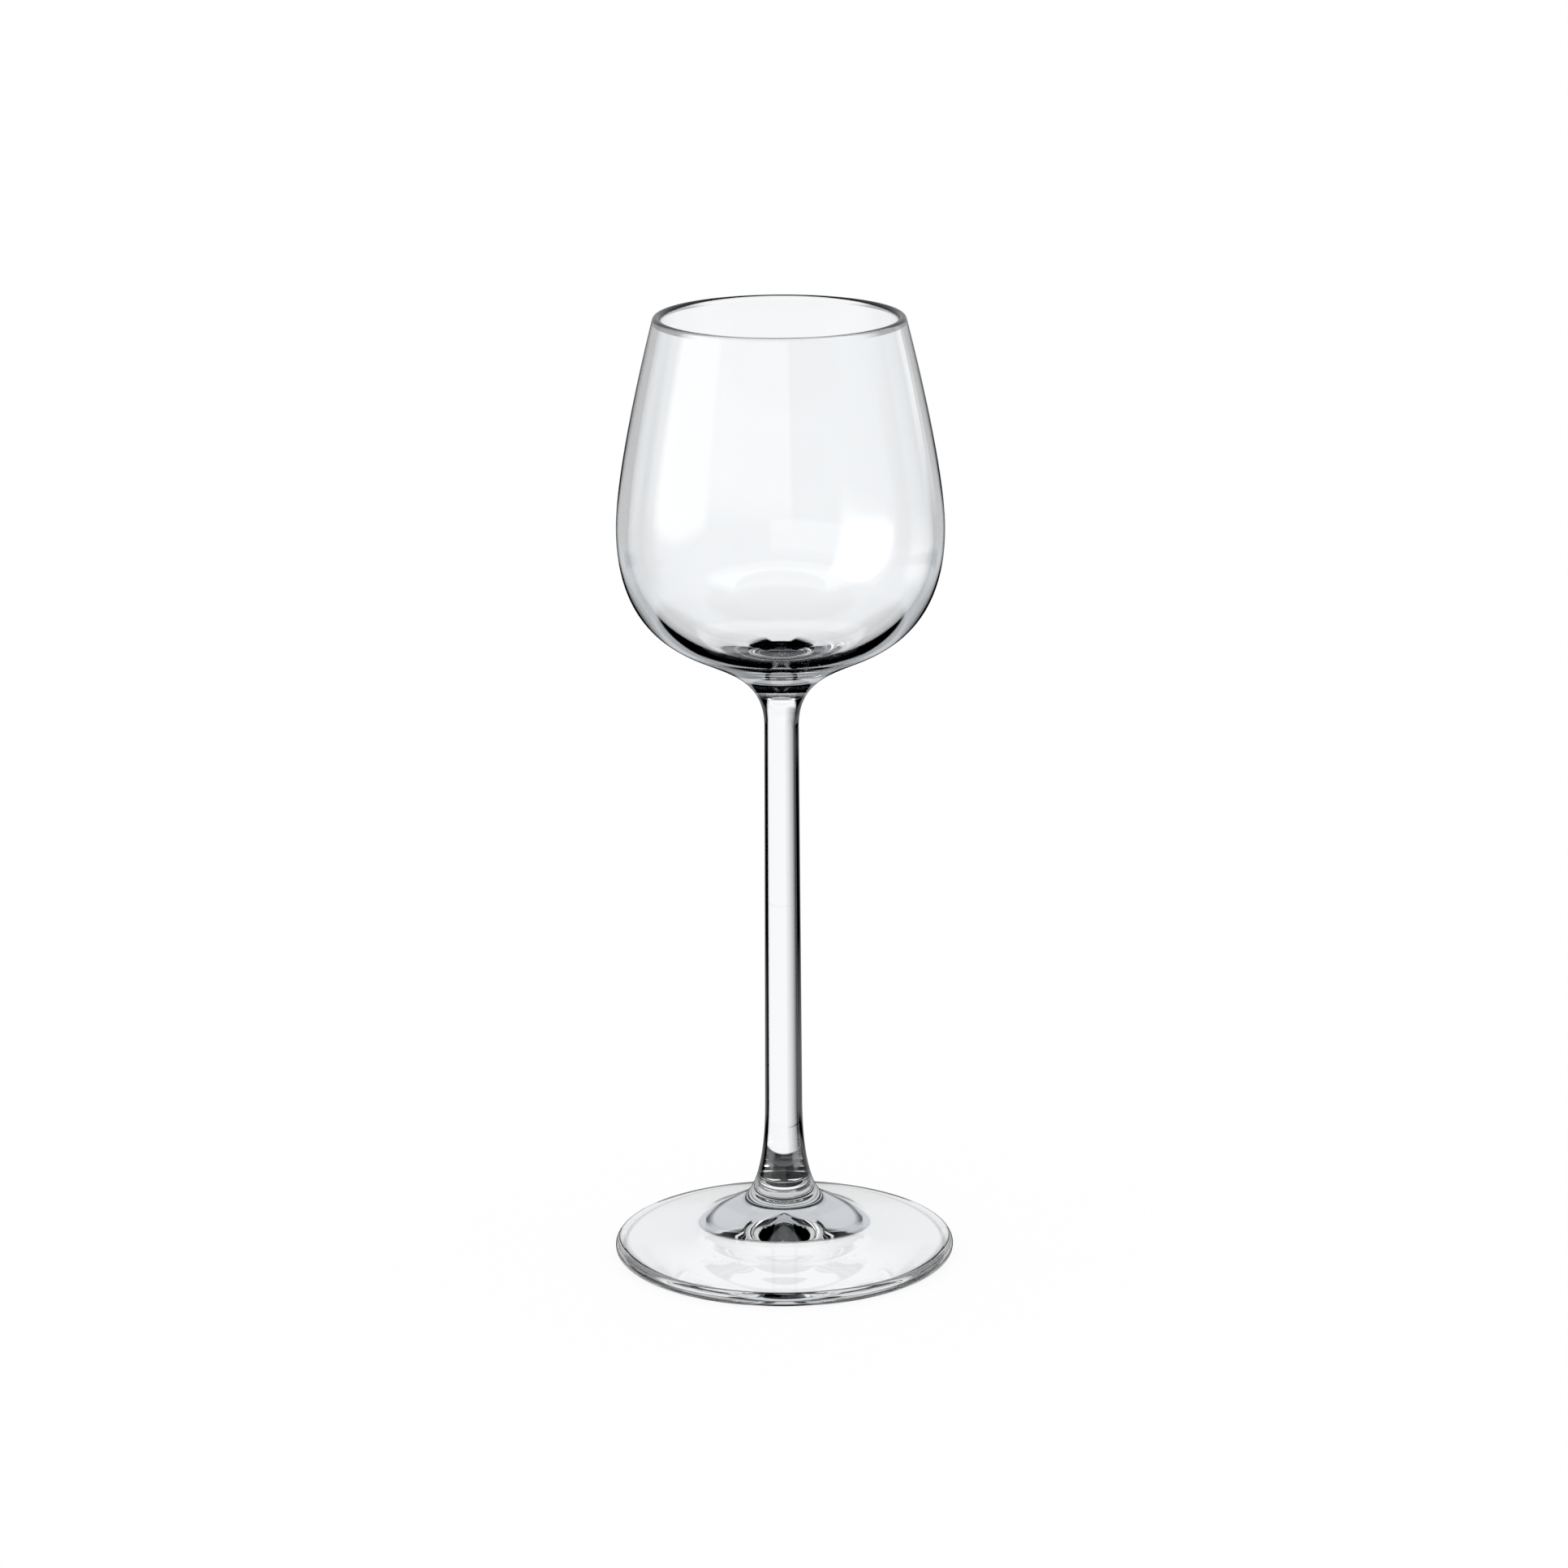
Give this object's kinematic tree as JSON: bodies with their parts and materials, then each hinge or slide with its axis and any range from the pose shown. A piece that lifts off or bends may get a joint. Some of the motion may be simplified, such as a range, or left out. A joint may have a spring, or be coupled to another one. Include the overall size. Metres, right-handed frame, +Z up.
{
  "type": "grappa glass",
  "caption": "Stemmed clear grappa glass: a tulip bowl that narrows to the rim, on a tall slender stem and a wide round foot.",
  "frame": {"origin": "middle of the foot's resting face", "axes": "+Z up along the glass's axis of revolution"},
  "size_m": [0.0642, 0.0642, 0.18],
  "materials": {
    "clear_glass": "fire-polished clear crystal"
  },
  "bodies": {
    "root": {"bowl": "clear_glass", "stem": "clear_glass", "foot": "clear_glass"}
  },
  "joints": []
}
